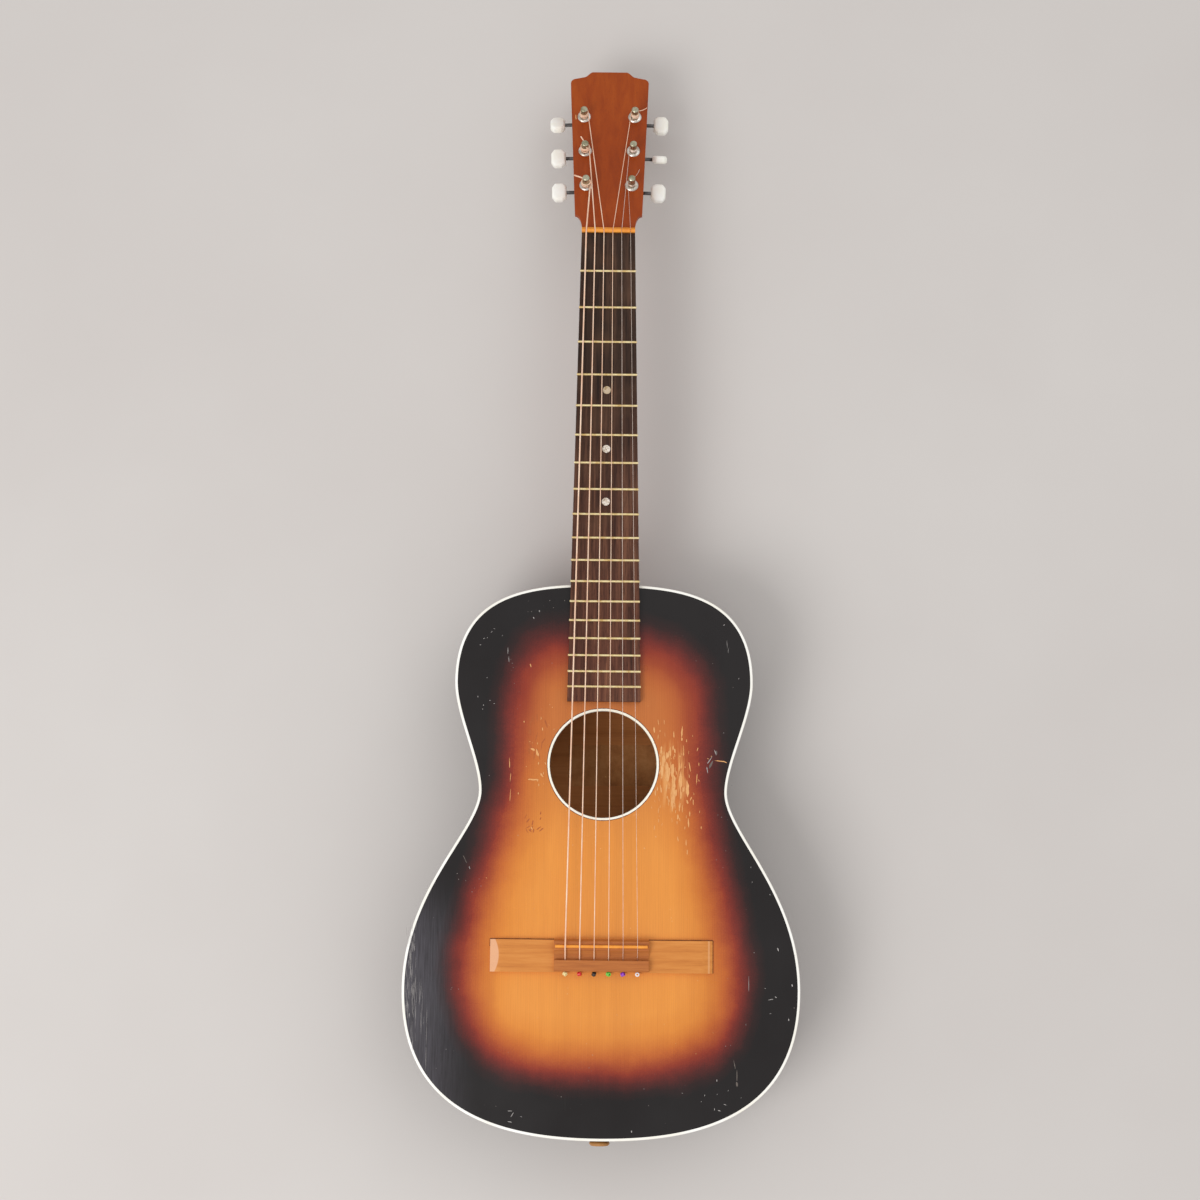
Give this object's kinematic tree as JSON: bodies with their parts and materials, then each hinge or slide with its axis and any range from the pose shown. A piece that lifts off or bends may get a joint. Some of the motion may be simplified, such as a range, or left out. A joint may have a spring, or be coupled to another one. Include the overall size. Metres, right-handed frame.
{
  "type": "acoustic guitar",
  "caption": "Worn small-bodied acoustic guitar with a sunburst flat top, tie-block bridge and geared tuners; its lacquer is scratched and chipped.",
  "frame": {"origin": "middle of the outside box in x and y, on the lowest line of the arched back", "axes": "+Y along the strings towards the headstock, +Z out of the top, +X towards the treble side"},
  "size_m": [0.34, 0.9682, 0.1052],
  "materials": {
    "sunburst_top": "worn gloss lacquer, amber middle shading through red to black",
    "body_stain": "dark stained, worn gloss lacquer",
    "cream_binding": "aged gloss",
    "bare_wood": "unfinished",
    "neck_stain": "reddish-brown stain, satin lacquer",
    "dark_steel": "dull",
    "nickel": "dulled nickel plate",
    "rosewood": "oiled, dirty",
    "fret_brass": "worn",
    "pearl": "pearly",
    "amber_plastic": "aged gloss",
    "bridge_wood": "satin lacquer, worn",
    "pin_wood": "satin",
    "bronze": "wound, bright",
    "string_steel": "plain drawn wire",
    "ball_brass": "coloured lacquer",
    "post_nickel": "tarnished nickel plate",
    "button_plastic": "ivory gloss"
  },
  "bodies": {
    "guitar": {"top_plate": "sunburst_top", "back_plate": "body_stain", "side_bass": "body_stain", "side_treble": "body_stain", "binding": "cream_binding", "soundhole_ring": "cream_binding", "linings": "bare_wood", "neck_block": "bare_wood", "tail_block": "bare_wood", "top_braces": "bare_wood", "bridge_plate": "bare_wood", "back_braces": "bare_wood", "neck": "neck_stain", "neck_bar": "dark_steel", "neck_bolt": "nickel", "neck_washer": "nickel", "fingerboard": "rosewood", "frets": "fret_brass", "position_dots": "pearl", "nut": "amber_plastic", "bridge": "bridge_wood", "saddle": "amber_plastic", "end_pin": "pin_wood", "wound_strings": "bronze", "plain_strings": "string_steel", "ball_ends": "ball_brass", "tuner_plate_bass": "nickel", "tuner_plate_treble": "nickel", "post_bushings": "nickel", "plate_screws": "nickel"},
    "worm_body_1": {"worm_1": "dark_steel", "button_1": "button_plastic"},
    "post_body_1": {"post_1": "post_nickel", "gear_1": "fret_brass", "winding_1": "string_steel"},
    "worm_body_2": {"worm_2": "dark_steel", "button_2": "button_plastic"},
    "post_body_2": {"post_2": "post_nickel", "gear_2": "fret_brass", "winding_2": "string_steel"},
    "worm_body_3": {"worm_3": "dark_steel", "button_3": "button_plastic"},
    "post_body_3": {"post_3": "post_nickel", "gear_3": "fret_brass", "winding_3": "bronze"},
    "worm_body_4": {"worm_4": "dark_steel", "button_4": "button_plastic"},
    "post_body_4": {"post_4": "post_nickel", "gear_4": "fret_brass", "winding_4": "bronze"},
    "worm_body_5": {"worm_5": "dark_steel", "button_5": "button_plastic"},
    "post_body_5": {"post_5": "post_nickel", "gear_5": "fret_brass", "winding_5": "bronze"},
    "worm_body_6": {"worm_6": "dark_steel", "button_6": "button_plastic"},
    "post_body_6": {"post_6": "post_nickel", "gear_6": "fret_brass", "winding_6": "bronze"}
  },
  "joints": [
    {"name": "button_spin_1", "type": "hinge", "parent": "guitar", "child": "worm_body_1", "pos_m": [0.02085, 0.36797, 0.05727], "axis": [0.9994, -0.0349, 0.008], "range_deg": [-720, 720]},
    {"name": "post_spin_1", "type": "hinge", "parent": "guitar", "child": "post_body_1", "pos_m": [0.0206, 0.36115, 0.05884], "axis": [0, 0.225, 0.9744], "range_deg": [-52, 52]},
    {"name": "button_spin_2", "type": "hinge", "parent": "guitar", "child": "worm_body_2", "pos_m": [0.02215, 0.40322, 0.04913], "axis": [0.9994, -0.0349, 0.008], "range_deg": [-720, 720]},
    {"name": "post_spin_2", "type": "hinge", "parent": "guitar", "child": "post_body_2", "pos_m": [0.0219, 0.3964, 0.0507], "axis": [0, 0.225, 0.9744], "range_deg": [-52, 52]},
    {"name": "button_spin_3", "type": "hinge", "parent": "guitar", "child": "worm_body_3", "pos_m": [0.02345, 0.43846, 0.04099], "axis": [0.9994, -0.0349, 0.008], "range_deg": [-720, 720]},
    {"name": "post_spin_3", "type": "hinge", "parent": "guitar", "child": "post_body_3", "pos_m": [0.0232, 0.43165, 0.04256], "axis": [0, 0.225, 0.9744], "range_deg": [-52, 52]},
    {"name": "button_spin_4", "type": "hinge", "parent": "guitar", "child": "worm_body_4", "pos_m": [-0.02345, 0.43846, 0.04099], "axis": [-0.9994, -0.0349, 0.008], "range_deg": [-720, 720]},
    {"name": "post_spin_4", "type": "hinge", "parent": "guitar", "child": "post_body_4", "pos_m": [-0.0232, 0.43165, 0.04256], "axis": [0, 0.225, 0.9744], "range_deg": [-52, 52]},
    {"name": "button_spin_5", "type": "hinge", "parent": "guitar", "child": "worm_body_5", "pos_m": [-0.02215, 0.40322, 0.04913], "axis": [-0.9994, -0.0349, 0.008], "range_deg": [-720, 720]},
    {"name": "post_spin_5", "type": "hinge", "parent": "guitar", "child": "post_body_5", "pos_m": [-0.0219, 0.3964, 0.0507], "axis": [0, 0.225, 0.9744], "range_deg": [-52, 52]},
    {"name": "button_spin_6", "type": "hinge", "parent": "guitar", "child": "worm_body_6", "pos_m": [-0.02085, 0.36797, 0.05727], "axis": [-0.9994, -0.0349, 0.008], "range_deg": [-720, 720]},
    {"name": "post_spin_6", "type": "hinge", "parent": "guitar", "child": "post_body_6", "pos_m": [-0.0206, 0.36115, 0.05884], "axis": [0, 0.225, 0.9744], "range_deg": [-52, 52]}
  ],
  "couplings": [
    {"joint": "post_spin_1", "follows": "button_spin_1", "ratio": 0.071429},
    {"joint": "post_spin_2", "follows": "button_spin_2", "ratio": 0.071429},
    {"joint": "post_spin_3", "follows": "button_spin_3", "ratio": 0.071429},
    {"joint": "post_spin_4", "follows": "button_spin_4", "ratio": -0.071429},
    {"joint": "post_spin_5", "follows": "button_spin_5", "ratio": -0.071429},
    {"joint": "post_spin_6", "follows": "button_spin_6", "ratio": -0.071429}
  ]
}
